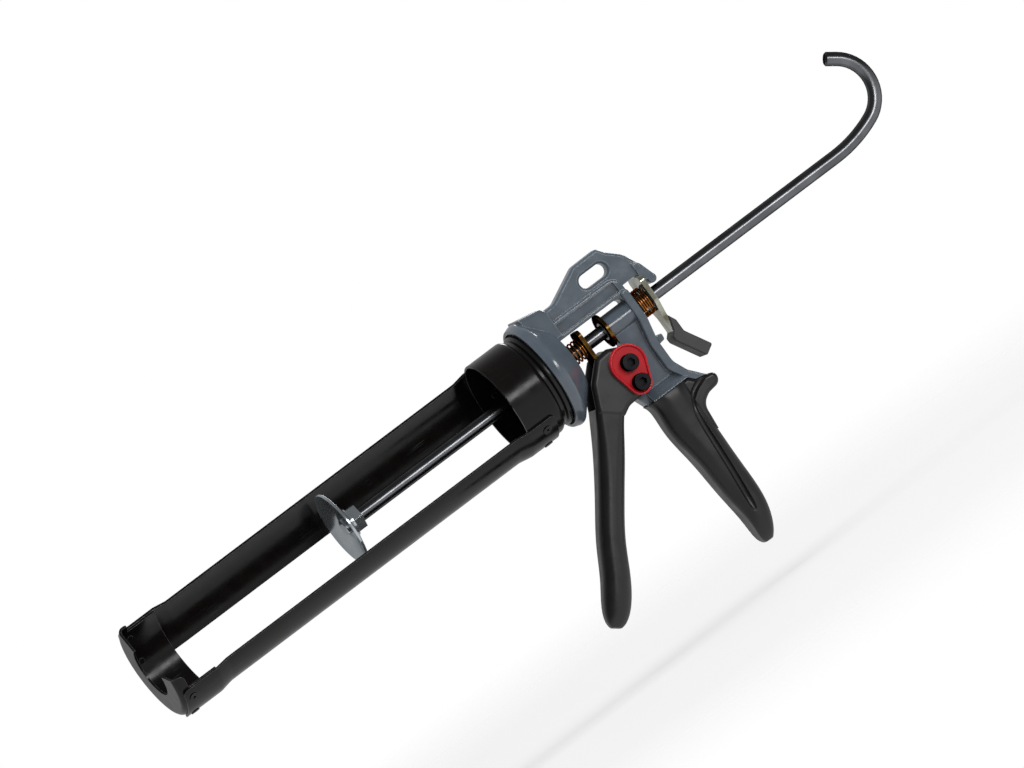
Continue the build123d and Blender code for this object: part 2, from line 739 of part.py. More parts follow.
# Frame: grip sleeve
sleeve_top = SLEEVE_TOP - SNUG
horn_points = [
    (56.0, sleeve_top),
    (62.2, sleeve_top),
    (65.2, sleeve_top - 3.3),
    (TANG_X, sleeve_top - 4.6),
    (75.0, -46.2),
    (75.6, -52.4),
    (67.0, -53.6),
    (61.9, -56.6),
    (60.6, -70.0),
    (56.0, -70.0),
]
horn_radii = [0, 0, 0, 3, 3, 4, 6, 7, 0, 0]
# Share of the grip's length, front edge, rear edge and share of its thickness at each section.
grip_sections = [
    (0.0, 38.6, 62.2, 1.0),
    (0.16, 40.1, 61.0, 1.0),
    (0.3, 41.0, 60.8, 1.0),
    (0.56, 43.5, 60.2, 0.96),
    (0.78, 45.5, 59.4, 0.9),
    (0.9, 46.1, 56.6, 0.8),
    (0.965, 46.4, 54.0, 0.58),
    (1.0, 48.0, 52.0, 0.3),
]
# Places along the groove in the grip's side, each with the half width of the grip there.
groove_places = [
    (70.5, -45.4, HORN_HALF + GROOVE_R),
    (65.5, -46.6, HORN_HALF),
    (60.0, -49.4, HORN_HALF + 0.3),
    (56.6, -54.2, 11.2),
    (54.8, -62.0, 11.7),
    (53.6, -75.0, 11.7),
    (52.4, -92.0, 11.4),
    (51.2, -106.0, 10.9),
    (50.6, -112.0, 10.5 + GROOVE_R),
]
with BuildPart() as grip_sleeve:
    with BuildSketch(side_plane(0)):
        with BuildLine():
            FilletPolyline(horn_points, radius=horn_radii, close=True)
        make_face()
    extrude(amount=HORN_HALF, both=True)
    fillet(side_edges(grip_sleeve, HORN_HALF), HORN_ROUND)
    for share, front_x, rear_x, thickness_share in grip_sections:
        middle = ((front_x + rear_x) / 2, sleeve_top - share * GRIP_LENGTH)
        width = rear_x - front_x
        thickness = thickness_share * GRIP_THICKNESS
        with BuildSketch(section_plane(middle, (0, -1))):
            RectangleRounded(width, thickness, GRIP_ROUNDNESS * min(width, thickness))
    loft()
    for side in (-1, 1):
        with BuildLine() as groove:
            Spline([(x, side * half, z) for x, z, half in groove_places])
        with BuildSketch(Plane(origin=groove.line @ 0, z_dir=groove.line % 0)):
            Circle(GROOVE_R)
        sweep(mode=Mode.SUBTRACT)
    with BuildSketch(side_plane(0)):
        Polygon(*core_points, align=None)
        offset(amount=SNUG)
    extrude(amount=CORE_HALF + SNUG, both=True, mode=Mode.SUBTRACT)
finish(grip_sleeve, "grip_sleeve")

# Frame: washer on the rod boss and bush of the trigger's pivot
with BuildPart() as guide_washer:
    with BuildSketch(cross_plane(BOSS_FRONT - SNUG)):
        Circle(WASHER_DIA / 2)
        Circle(SPIGOT_DIA / 2 + SNUG, mode=Mode.SUBTRACT)
    extrude(amount=SNUG - WASHER_THICKNESS)
finish(guide_washer, "guide_washer")

with BuildPart() as pivot_bush:
    with BuildSketch(side_plane(0)):
        with Locations(pivot):
            Circle(BUSH_DIA / 2)
            Circle(BOLT_DIA / 2 + FIT, mode=Mode.SUBTRACT)
    extrude(amount=PIVOT_BOSS_HALF, both=True)
finish(pivot_bush, "pivot_bush")

# Trigger
head_points = [
    (30.6, -7.6),
    (nose_x + 2.0, NOSE_Z + NOSE_R),
    (PIVOT_X + 4.4, PIVOT_Z + 7.6),
    (PIVOT_X + 9.6, PIVOT_Z - 2.0),
    (CROSS_X + 5.6, CROSS_Z - 1.0),
    (CROSS_X + 1.0, CROSS_Z - 5.6),
    (31.0, -35.6),
    (25.4, -38.6),
    (15.0, -30.5),
    (21.6, -16.4),
]
head_radii = [2, 2, 5, 7, 4, 4, 6, 3, 3, 8]
# Middle, heading, width, thickness and roundness of each section of the trigger's blade.
blade_sections = [
    ((26.0, -26.0), (-0.57, -0.82), 15.4, 19.8, 0.17),
    ((19.6, -35.2), (-0.57, -0.82), 13.9, 19.4, 0.25),
    ((13.4, -44.5), (-0.57, -0.82), 13.6, 18.7, 0.34),
    ((7.1, -53.6), (-0.58, -0.81), 13.5, 18.1, 0.41),
    ((1.6, -61.1), (-0.6, -0.8), 13.2, 17.7, 0.44),
    ((-3.8, -68.4), (-0.6, -0.8), 13.0, 17.4, 0.45),
    ((-9.4, -76.0), (-0.59, -0.81), 13.0, 17.2, 0.45),
    ((-14.7, -83.9), (-0.56, -0.83), 13.2, 17.0, 0.45),
    ((-19.2, -91.7), (-0.53, -0.85), 13.5, 16.9, 0.45),
    ((-23.4, -98.9), (-0.53, -0.85), 13.9, 16.7, 0.45),
    ((-27.8, -105.4), (-0.56, -0.83), 14.2, 16.2, 0.45),
    ((-32.0, -111.0), (-0.6, -0.8), 13.2, 14.8, 0.45),
    ((-35.4, -115.4), (-0.61, -0.79), 10.0, 11.6, 0.45),
    ((-37.2, -117.9), (-0.61, -0.79), 5.2, 6.6, 0.45),
]
with BuildPart() as trigger_lever:
    with BuildSketch(side_plane(0)):
        with BuildLine():
            FilletPolyline(head_points, radius=head_radii, close=True)
        make_face()
    extrude(amount=TRIGGER_HALF, both=True)
    fillet(side_edges(trigger_lever, TRIGGER_HALF), TRIGGER_ROUND)
    for middle, heading, width, thickness, roundness in blade_sections:
        with BuildSketch(section_plane(middle, heading)):
            RectangleRounded(width, thickness, roundness * min(width, thickness))
    loft()
    with BuildSketch(side_plane(0)):
        with Locations(pivot):
            Circle(FORK_R)
    extrude(amount=FORK_HALF, both=True, mode=Mode.SUBTRACT)
    with BuildSketch(side_plane(0)):
        with Locations((nose_x, NOSE_Z)):
            Circle(NOSE_R)
    extrude(amount=FORK_HALF + 1, both=True)
    with BuildSketch(side_plane(0)):
        with Locations(pivot, cross):
            Circle(BOLT_DIA / 2 + SNUG)
    extrude(amount=TRIGGER_HALF, both=True, mode=Mode.SUBTRACT)
finish(trigger_lever, "trigger_lever")

# Trigger: caps, bolts and nuts
cap_seat = TRIGGER_HALF + SNUG
bolt_seat = cap_seat + PIVOT_CAP_THICKNESS - PIVOT_CAP_RECESS + SNUG
for node, side in (("pivot_cap_near", -1), ("pivot_cap_far", 1)):
    with BuildPart() as pivot_cap:
        with BuildSketch(side_plane(side * cap_seat)):
            with Locations(pivot):
                Circle(PIVOT_CAP_R)
            with Locations(cross):
                Circle(PIVOT_CAP_LOW_R)
            make_hull()
            with Locations(pivot, cross):
                Circle(BOLT_DIA / 2 + SNUG, mode=Mode.SUBTRACT)
        extrude(amount=-side * PIVOT_CAP_THICKNESS)
        with BuildSketch(side_plane(side * (cap_seat + PIVOT_CAP_THICKNESS - PIVOT_CAP_RECESS))):
            with Locations(pivot):
                Circle(PIVOT_CAP_R - PIVOT_CAP_RIM)
            with Locations(cross):
                Circle(PIVOT_CAP_LOW_R - PIVOT_CAP_RIM)
            make_hull()
        extrude(amount=-side * PIVOT_CAP_RECESS, mode=Mode.SUBTRACT)
        outer_rim = pivot_cap.faces().sort_by(Axis.Y)[-1 if side > 0 else 0]
        fillet(outer_rim.edges(), PIVOT_CAP_ROUND)
    finish(pivot_cap, node)

for name, place in (("pivot", pivot), ("cross", cross)):
    with BuildPart() as bolt:
        with BuildSketch(side_plane(-bolt_seat)):
            with Locations(place):
                Circle(BOLT_HEAD_DIA / 2)
        extrude(amount=BOLT_HEAD_HEIGHT)
        fillet(bolt.edges().group_by(Axis.Y)[0], BOLT_HEAD_ROUND)
        with BuildSketch(side_plane(-bolt_seat)):
            with Locations(place):
                Circle(BOLT_DIA / 2)
        extrude(amount=-2 * bolt_seat - BOLT_NUT_HEIGHT - SNUG)
        with BuildSketch(side_plane(-bolt_seat - BOLT_HEAD_HEIGHT + BOLT_SOCKET_DEPTH)):
            with Locations(place):
                RegularPolygon(BOLT_SOCKET / 2, 6, major_radius=False)
        extrude(amount=BOLT_HEAD_HEIGHT, mode=Mode.SUBTRACT)
    finish(bolt, f"{name}_bolt")
    with BuildPart() as bolt_nut:
        with BuildSketch(side_plane(bolt_seat)):
            with Locations(place):
                RegularPolygon(BOLT_NUT_ACROSS / 2, 6, major_radius=False)
                Circle(BOLT_DIA / 2 + SNUG, mode=Mode.SUBTRACT)
        extrude(amount=-BOLT_NUT_HEIGHT)
    finish(bolt_nut, f"{name}_nut")

# Drive plate
with BuildPart() as drive_plate:
    with BuildSketch(cross_plane(DRIVE_PLATE_X)):
        with Locations((0, (DRIVE_PLATE_TOP + DRIVE_PLATE_BOTTOM) / 2)):
            RectangleRounded(DRIVE_PLATE_WIDTH, DRIVE_PLATE_TOP - DRIVE_PLATE_BOTTOM, DRIVE_PLATE_CORNER_R)
        Circle(rod_r + GAP, mode=Mode.SUBTRACT)
    extrude(amount=DRIVE_PLATE_THICKNESS)
finish(drive_plate, "drive_plate")

# Release plate: a flat catch with a bent tongue, and the cover on the tongue
lean = radians(RELEASE_TONGUE_ANGLE)
along = Vector(sin(lean), -cos(lean))
back = Vector(cos(lean), sin(lean))
bend_inset = RELEASE_PLATE_THICKNESS * tan(lean / 2)
bend_front = Vector(RELEASE_PLATE_X, RELEASE_BEND_Z)
bend_rear = Vector(release_plate_rear, RELEASE_BEND_Z + bend_inset)
tongue_end = bend_front + along * RELEASE_TONGUE
release_points = [
    (RELEASE_PLATE_X, RELEASE_PLATE_TOP),
    bend_front,
    tongue_end,
    tongue_end + back * RELEASE_PLATE_THICKNESS,
    bend_rear,
    (release_plate_rear, RELEASE_PLATE_TOP),
]
plate_half = RELEASE_PLATE_WIDTH / 2
tongue_half = RELEASE_TONGUE_WIDTH / 2
tongue_low = tongue_end.Y - RELEASE_PLATE_THICKNESS
plate_face_points = [
    (-plate_half, RELEASE_PLATE_TOP),
    (-plate_half, RELEASE_TAPER_TOP),
    (-tongue_half, RELEASE_TAPER_BOTTOM),
    (-tongue_half, tongue_low),
    (tongue_half, tongue_low),
    (tongue_half, RELEASE_TAPER_BOTTOM),
    (plate_half, RELEASE_TAPER_TOP),
    (plate_half, RELEASE_PLATE_TOP),
]
release_radii = [0, RELEASE_PLATE_THICKNESS * 1.5, 0, 0, RELEASE_PLATE_THICKNESS * 0.5, 0]
with BuildPart() as release_plate:
    with BuildSketch(side_plane(0)):
        with BuildLine():
            FilletPolyline(release_points, radius=release_radii, close=True)
        make_face()
    extrude(amount=plate_half, both=True)
    with BuildSketch(cross_plane(RELEASE_PLATE_X)):
        Polygon(*plate_face_points, align=None)
    extrude(amount=RELEASE_PLATE_WIDTH, mode=Mode.INTERSECT)
    with BuildSketch(cross_plane(RELEASE_PLATE_X)):
        SlotCenterToCenter(2 * RELEASE_HOLE_PLAY, ROD_DIA + 2 * GAP, rotation=90)
    extrude(amount=RELEASE_PLATE_THICKNESS, mode=Mode.SUBTRACT)
    top_corners = release_plate.edges().filter_by(Axis.X).group_by(Axis.Z)[-1]
    fillet(top_corners, RELEASE_CORNER_R)
finish(release_plate, "release_plate")

tab_points = [
    (release_plate_rear, TAB_TOP),
    (release_plate_rear + TAB_WALL, TAB_TOP - 2 * TAB_WALL),
    bend_rear + Vector(TAB_WALL, TAB_WALL * tan(lean / 2)),
    tongue_end + back * (RELEASE_PLATE_THICKNESS + TAB_WALL) + along * TAB_WALL,
    tongue_end - back * TAB_WALL + along * TAB_WALL,
    bend_front - Vector(TAB_WALL, TAB_WALL * tan(lean / 2)),
    bend_front + Vector(-TAB_WALL, TAB_WALL),
    bend_front + Vector(0, 2 * TAB_WALL),
]
tab_radii = [0, 2, 3, 1, 1, 3, 0.6, 0]
with BuildPart() as thumb_tab:
    with BuildSketch(side_plane(0)):
        with BuildLine():
            FilletPolyline(tab_points, radius=tab_radii, close=True)
        make_face()
    extrude(amount=tongue_half + TAB_SIDE, both=True)
    fillet(side_edges(thumb_tab, tongue_half + TAB_SIDE), TAB_ROUND)
    add(release_plate.part, mode=Mode.SUBTRACT)
finish(thumb_tab, "thumb_tab")


def helix_point(turn, radius, start, pitch):
    """Point of a helix about the X axis, counted in turns from its start."""
    return Vector(start + pitch * turn, radius * cos(2 * pi * turn), radius * sin(2 * pi * turn))


def helix_heading(turn, radius, pitch):
    """Unit tangent of the same helix."""
    swing = 2 * pi * radius
    return Vector(pitch, -swing * sin(2 * pi * turn), swing * cos(2 * pi * turn)).normalized()


def biarc(first, first_heading, last, last_heading):
    """Middle point of two tangent arcs between two headed points, and the heading there."""
    chord = last - first
    both = first_heading + last_heading
    spread = 2 * (1 - first_heading.dot(last_heading))
    reach = (sqrt(chord.dot(both) ** 2 + spread * chord.dot(chord)) - chord.dot(both)) / spread
    first_corner = first + first_heading * reach
    last_corner = last - last_heading * reach
    return (first_corner + last_corner) / 2, (last_corner - first_corner).normalized()


def self_gap(radius, pitch, turns, wire):
    """Least gap between a coil's wire and itself, measured on points half a turn or more apart."""
    steps = 48
    points = [helix_point(i / steps, radius, 0, pitch) for i in range(int(turns * steps) + 1)]
    apart = [(a - b).length for i, a in enumerate(points) for b in points[i + steps // 2:]]
    return min(apart) - wire


spring_sizes = {
    "drive_spring": (DRIVE_COIL_DIA, DRIVE_WIRE, DRIVE_TURNS, hub_rear, DRIVE_PLATE_X),
    "release_spring": (RELEASE_COIL_DIA, RELEASE_WIRE, RELEASE_TURNS, REAR_FACE, RELEASE_PLATE_X),
}
for node, (coil_dia, wire, turns, seat_front, seat_rear) in spring_sizes.items():
    coil_r = coil_dia / 2
    coil_start = seat_front + GAP + wire / 2
    coil_pitch = (seat_rear - GAP - wire / 2 - coil_start) / turns
    quarters = round(turns * 4)
    with BuildPart() as spring:
        with BuildLine() as coil:
            for quarter in range(quarters):
                before = helix_point(quarter / 4, coil_r, coil_start, coil_pitch)
                before_heading = helix_heading(quarter / 4, coil_r, coil_pitch)
                after = helix_point((quarter + 1) / 4, coil_r, coil_start, coil_pitch)
                after_heading = helix_heading((quarter + 1) / 4, coil_r, coil_pitch)
                middle, middle_heading = biarc(before, before_heading, after, after_heading)
                TangentArc(before, middle, tangent=before_heading)
                TangentArc(middle, after, tangent=middle_heading)
        start_plane = Plane(origin=coil.wire() @ 0, z_dir=coil.wire() % 0)
        with BuildSketch(start_plane):
            Circle(wire / 2)
        sweep(path=coil.wire())
    finish(spring, node)
    expected = round(pi * wire**2 / 4 * coil.wire().length, 1)
    print(node, "least gap", round(self_gap(coil_r, coil_pitch, turns, wire), 2))
    print(node, "volume", round(spring.part.volume, 1), "expected", expected)
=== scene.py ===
"""Caulking gun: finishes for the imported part, its two coil springs, and a plain studio stage."""

import json
from math import cos, pi, radians, sin

import bpy
from bpy.props import FloatProperty, FloatVectorProperty, IntProperty, PointerProperty
from mathutils import Matrix, Vector


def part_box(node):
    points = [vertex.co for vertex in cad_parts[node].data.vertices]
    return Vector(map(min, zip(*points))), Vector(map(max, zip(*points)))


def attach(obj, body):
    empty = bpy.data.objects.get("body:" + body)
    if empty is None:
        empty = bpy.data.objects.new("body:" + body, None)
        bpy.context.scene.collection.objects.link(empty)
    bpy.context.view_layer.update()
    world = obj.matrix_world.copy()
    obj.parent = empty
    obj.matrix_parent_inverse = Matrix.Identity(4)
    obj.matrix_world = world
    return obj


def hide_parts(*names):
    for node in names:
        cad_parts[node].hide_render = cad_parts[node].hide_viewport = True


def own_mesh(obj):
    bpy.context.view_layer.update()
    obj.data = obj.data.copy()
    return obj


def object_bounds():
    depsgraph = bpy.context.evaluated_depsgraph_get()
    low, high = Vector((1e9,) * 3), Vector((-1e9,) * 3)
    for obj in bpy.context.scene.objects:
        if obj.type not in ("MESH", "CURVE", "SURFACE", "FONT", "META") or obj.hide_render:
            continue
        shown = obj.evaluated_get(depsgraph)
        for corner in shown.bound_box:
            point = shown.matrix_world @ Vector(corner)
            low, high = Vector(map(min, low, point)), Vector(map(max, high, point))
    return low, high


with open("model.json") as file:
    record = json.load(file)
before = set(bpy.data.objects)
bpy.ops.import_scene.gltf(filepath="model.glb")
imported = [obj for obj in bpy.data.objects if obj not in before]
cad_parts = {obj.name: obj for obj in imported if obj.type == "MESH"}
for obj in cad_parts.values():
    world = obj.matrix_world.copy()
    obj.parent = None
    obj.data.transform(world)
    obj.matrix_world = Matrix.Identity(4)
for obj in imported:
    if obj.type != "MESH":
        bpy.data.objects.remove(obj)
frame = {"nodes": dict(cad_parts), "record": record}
CAD_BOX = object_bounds()

bl_info = {
    "name": "Caulking gun",
    "version": (1, 0, 0),
    "blender": (4, 5, 0),
    "location": "View3D > Sidebar > Caulking gun",
    "description": "Dresses a packed caulking gun and sets up its stage",
    "category": "Object",
}

MM = 0.001
IMAGE_WIDTH = 1024


def linear(code):
    """A sRGB hex colour as linear red, green, blue and alpha."""
    channels = [int(code[i : i + 2], 16) / 255 for i in (1, 3, 5)]
    curve = [c / 12.92 if c <= 0.04045 else ((c + 0.055) / 1.055) ** 2.4 for c in channels]
    return (*curve, 1.0)


def per_mm(size):
    """Scale of a texture whose features are this many millimetres across."""
    return 1 / (size * MM)


def colour_property(name, description, code):
    """A colour that the user can change."""
    return FloatVectorProperty(
        name=name,
        description=description,
        subtype="COLOR",
        size=4,
        min=0,
        max=1,
        default=linear(code),
    )


def length_property(name, description, size):
    """A length in millimetres, kept in metres."""
    return FloatProperty(
        name=name, description=description, default=size * MM, min=0, unit="LENGTH", precision=5
    )


def amount_property(name, description, amount, unit="NONE", least=0):
    """A number with a lower limit."""
    return FloatProperty(name=name, description=description, default=amount, min=least, unit=unit)


def angle_property(name, description, degrees):
    """An angle in degrees, kept in radians."""
    return FloatProperty(
        name=name, description=description, subtype="ANGLE", default=radians(degrees)
    )


class GunFinishes(bpy.types.PropertyGroup):
    """Colours of the finishes."""

    coated_steel: colour_property("Coated steel", "Satin black coating of the cradle", "#110f0e")
    casting: colour_property("Casting", "Blue grey coating of the frame", "#555f69")
    trigger: colour_property("Trigger", "Black coating of the trigger", "#1a1a1a")
    grip: colour_property("Grip", "Black plastic of the grip's sleeve", "#171717")
    collar: colour_property("Collar", "Black plastic of the swivel collar", "#0f0f10")
    tab: colour_property("Thumb tab", "Black dip on the release tab", "#3c3c3d")
    caps: colour_property("Pivot caps", "Red plastic of the pivot caps", "#c81b25")
    rod: colour_property("Push rod", "Blued steel of the rod", "#747578")
    oxide: colour_property("Black oxide", "Blackened steel of the bolts", "#232325")
    zinc: colour_property("Zinc", "Bright zinc plate of the piston", "#c4c9cd")
    yellow_zinc: colour_property("Yellow zinc", "Yellow passivated zinc plate", "#74521f")
    nickel: colour_property("Nickel", "Bright plate of the release catch", "#c8ccc4")
    spring_wire: colour_property("Spring wire", "Copper washed spring wire", "#b2743a")


class GunSprings(bpy.types.PropertyGroup):
    """Sizes of the two coil springs."""

    drive_wire: length_property("Drive wire", "Wire thickness of the drive spring", 0.9)
    drive_coil: length_property("Drive coil", "Middle diameter of the drive spring", 10.4)
    drive_turns: amount_property("Drive turns", "Turns of the drive spring", 4.5, least=2)
    release_wire: length_property("Release wire", "Wire thickness of the release spring", 1.0)
    release_coil: length_property("Release coil", "Middle diameter of the release spring", 14.0)
    release_turns: amount_property("Release turns", "Turns of the release spring", 4.5, least=2)
    wire_sides: IntProperty(
        name="Wire sides", description="Sides of the wire's section", default=14, min=6
    )


class GunStage(bpy.types.PropertyGroup):
    """Camera, light and floor."""

    azimuth: angle_property("Azimuth", "Camera's turn to the muzzle side", 14.5)
    elevation: angle_property("Elevation", "Camera's height as an angle", 4.0)
    roll: angle_property("Roll", "How far the barrel rises to the right", 35.97)
    distance: amount_property("Distance", "Camera to barrel", 12.0, "LENGTH", least=1)
    pixels_per_mm: amount_property("Pixels per mm", "Scale of the picture", 2.08, least=0.1)
    aim_right: length_property("Aim right", "Origin to the right of the picture's middle", 9.86)
    aim_down: length_property("Aim down", "Origin below the picture's middle", 0.53)
    floor_colour: colour_property("Floor", "Pale floor", "#f2f2f2")
    floor_drop: length_property("Floor drop", "Floor below the grip, clear of the trigger", 18.5)
    floor_cover: FloatProperty(
        name="Floor cover",
        description="How much the floor hides",
        subtype="FACTOR",
        default=0.42,
        min=0,
        max=1,
    )
    floor_edge: length_property("Floor edge", "Distance at which the floor starts to fade", 260)
    floor_fade: length_property("Floor fade", "Distance over which the floor fades out", 320)
    key_power: amount_property("Key", "Soft lamp before the gun", 6.5, "POWER")
    top_power: amount_property("Top", "Large lamp over the gun", 8, "POWER")
    rim_power: amount_property("Rim", "Soft lamp behind the gun", 5, "POWER")
    room_light: amount_property("Room", "Brightness of the room in reflections", 0.1)
    table_light: amount_property("Table", "Brightness of the table in reflections", 0.9)
    backdrop_light: amount_property("Backdrop", "Brightness of the backdrop in reflections", 0.5)
    fill_light: amount_property("Fill", "Light from all round", 0.32)


def fill(tree, target, inputs):
    """Sets or links a node's inputs."""
    for name, value in inputs.items():
        if isinstance(value, bpy.types.NodeSocket):
            tree.links.new(value, target.inputs[name])
        else:
            target.inputs[name].default_value = value


# Sockets that go by number: Map Range takes a value at 0, its old range at 1 and 2 and its new one
# at 3 and 4. Mix takes its share at 0, and numbers at 2 and 3 or colours at 6 and 7. Mix gives its
# colour at the output below.
MIXED_COLOUR = 2


def add_node(tree, kind, inputs=None, output=0, **settings):
    """Adds a node with its settings and links, and gives one of its outputs."""
    added = tree.nodes.new(kind)
    for name, value in settings.items():
        setattr(added, name, value)
    fill(tree, added, inputs or {})
    return added.outputs[output]


def start_material(name):
    """A new material, its node tree, its shader and its object coordinates."""
    material = bpy.data.materials.new(name)
    material.use_nodes = True
    tree = material.node_tree
    place = add_node(tree, "ShaderNodeTexCoord", output="Object")
    return material, tree, tree.nodes["Principled BSDF"], place


EDGE_SAMPLES = 6
# Cosines of the normal's turn at which an edge's line begins and is full.
EDGE_BEGINS, EDGE_FULL = 0.995, 0.86


def rounded_edges(tree, radius_mm):
    """Normals rounded over the edges, and a mask that is 1 on the edges."""
    rounded = add_node(
        tree, "ShaderNodeBevel", {"Radius": radius_mm * MM}, samples=EDGE_SAMPLES
    )
    plain = add_node(tree, "ShaderNodeNewGeometry", output="Normal")
    turned = add_node(
        tree, "ShaderNodeVectorMath", {0: rounded, 1: plain}, "Value", operation="DOT_PRODUCT"
    )
    limits = {1: EDGE_BEGINS, 2: EDGE_FULL, 3: 0.0, 4: 1.0}
    return rounded, add_node(tree, "ShaderNodeMapRange", {0: turned, **limits})


# The values between which most of a noise texture lies.
NOISE_LOW, NOISE_HIGH = 0.3, 0.7
# How far a coat's or a plastic's gloss drifts to either side.
DULLER, GLOSSIER = 0.06, 0.05

PAINT_IOR = 1.5
COAT_CLOUD_MM, COAT_CLOUD_SHARE, COAT_CLOUD_GAIN = 11, 0.35, 1.5
COAT_CHIP_MM = 2.5
COAT_CHIPS = {1: 0.35, 2: 0.6, 3: 0.25, 4: 0.85}
# Real scuffs are finer than this. They are drawn as coarse as they need to show.
SCUFF_MM, SCUFF_STRETCH = 0.5, (0.03, 1.0, 1.0)
SCUFF_LINES = {1: 0.63, 2: 0.7, 3: 0.0, 4: 1.0}
SCUFF_PATCH_MM, SCUFF_PATCH_LOW, SCUFF_PATCH_HIGH = 18, 0.52, 0.7
SCUFF_CODE = "#5b5d5f"
# Painted shade in crevices and inside angles: reach, samples and gain of the ambient occlusion that
# darkens the coat's colour.
CORNER_MM, CORNER_SAMPLES, PAINTED_SHADE_GAIN = 7, 8, 0.3
PAINTED_CORNER_SHADE = {1: 0.35, 2: 0.85, 3: 0.55, 4: 0.0}
COAT_SHEEN_MM = 6


def coated_metal(
    name, colour, edge_wear_and_highlight_code, roughness, shine, peel_mm, peel_depth_mm, round_mm, scuffs
):
    """Metal under a sprayed and baked coat: faint orange peel, a paler line on the edges that is
    partly a thin coat and partly a painted highlight, painted shade in crevices and inside angles,
    fine handling scuffs along the barrel and soft changes in gloss."""
    material, tree, shader, place = start_material(name)
    normal, edges = rounded_edges(tree, round_mm)
    clouds = add_node(
        tree,
        "ShaderNodeTexNoise",
        {"Vector": place, "Scale": per_mm(COAT_CLOUD_MM), "Detail": 3},
    )
    cloud_share = add_node(
        tree,
        "ShaderNodeMapRange",
        {0: clouds, 1: NOISE_LOW, 2: NOISE_HIGH, 3: 0.0, 4: COAT_CLOUD_SHARE},
    )
    paler = [c * COAT_CLOUD_GAIN for c in colour[:3]] + [1]
    tone = add_node(
        tree,
        "ShaderNodeMix",
        {0: cloud_share, 6: colour, 7: paler},
        MIXED_COLOUR,
        data_type="RGBA",
    )
    chips = add_node(
        tree, "ShaderNodeTexNoise", {"Vector": place, "Scale": per_mm(COAT_CHIP_MM), "Detail": 4}
    )
    chip_share = add_node(tree, "ShaderNodeMapRange", {0: chips, **COAT_CHIPS})
    # Painted highlight and wear: the edge mask, broken up by noise, turns the coat to the pale edge
    # colour, partly a thin coat on the edges and partly a painted highlight.
    thinned_and_highlit_edges = add_node(tree, "ShaderNodeMath", {0: edges, 1: chip_share}, operation="MULTIPLY")
    tone = add_node(
        tree,
        "ShaderNodeMix",
        {0: thinned_and_highlit_edges, 6: tone, 7: linear(edge_wear_and_highlight_code)},
        MIXED_COLOUR,
        data_type="RGBA",
    )
    drawn_out = add_node(tree, "ShaderNodeMapping", {"Vector": place, "Scale": SCUFF_STRETCH})
    streaks = add_node(
        tree, "ShaderNodeTexNoise", {"Vector": drawn_out, "Scale": per_mm(SCUFF_MM), "Detail": 2}
    )
    streak_share = add_node(tree, "ShaderNodeMapRange", {0: streaks, **SCUFF_LINES})
    patches = add_node(
        tree, "ShaderNodeTexNoise", {"Vector": place, "Scale": per_mm(SCUFF_PATCH_MM)}
    )
    patch_share = add_node(
        tree,
        "ShaderNodeMapRange",
        {0: patches, 1: SCUFF_PATCH_LOW, 2: SCUFF_PATCH_HIGH, 3: 0.0, 4: scuffs},
    )
    scuffed = add_node(
        tree, "ShaderNodeMath", {0: streak_share, 1: patch_share}, operation="MULTIPLY"
    )
    tone = add_node(
        tree,
        "ShaderNodeMix",
        {0: scuffed, 6: tone, 7: linear(SCUFF_CODE)},
        MIXED_COLOUR,
        data_type="RGBA",
    )
    # Painted shade: the colour is darkened where ambient occlusion finds nearby surfaces, in
    # crevices and inside angles where shade falls.
    reached = add_node(
        tree,
        "ShaderNodeAmbientOcclusion",
        {"Distance": CORNER_MM * MM},
        "AO",
        samples=CORNER_SAMPLES,
    )
    painted_corner_shade = add_node(tree, "ShaderNodeMapRange", {0: reached, **PAINTED_CORNER_SHADE})
    painted_shade_colour = [c * PAINTED_SHADE_GAIN for c in colour[:3]] + [1]
    tone = add_node(
        tree, "ShaderNodeMix", {0: painted_corner_shade, 6: tone, 7: painted_shade_colour}, MIXED_COLOUR, data_type="RGBA"
    )
    sheen = add_node(
        tree,
        "ShaderNodeTexNoise",
        {"Vector": place, "Scale": per_mm(COAT_SHEEN_MM), "Detail": 3},
    )
    drift = {1: NOISE_LOW, 2: NOISE_HIGH, 3: roughness - GLOSSIER, 4: roughness + DULLER}
    gloss = add_node(tree, "ShaderNodeMapRange", {0: sheen, **drift})
    peel = add_node(tree, "ShaderNodeTexNoise", {"Vector": place, "Scale": per_mm(peel_mm)})
    bumps = add_node(
        tree,
        "ShaderNodeBump",
        {"Height": peel, "Distance": peel_depth_mm * MM, "Normal": normal},
    )
    look = {"Base Color": tone, "Roughness": gloss, "Normal": bumps}
    fill(tree, shader, {**look, "IOR": PAINT_IOR, "Specular IOR Level": shine})
    return material


PLATE_CLOUDS = {1: 0.35, 2: 0.65, 3: 0.0, 4: 1.0}
PLATE_WEAR_MM = 1.6
PLATE_WEAR = {1: 0.3, 2: 0.6, 3: 0.3, 4: 0.95}
# Drawing and rolling lines are finer than this. They are drawn as coarse as they need to show.
LINE_MM, LINE_DEPTH_MM = 0.35, 0.0008
PLATE_DULLER, PLATE_GLOSSIER = 0.04, 0.03
EVEN_GRAIN = (1.0, 1.0, 1.0)
ALONG_BARREL = (0.02, 1.0, 1.0)


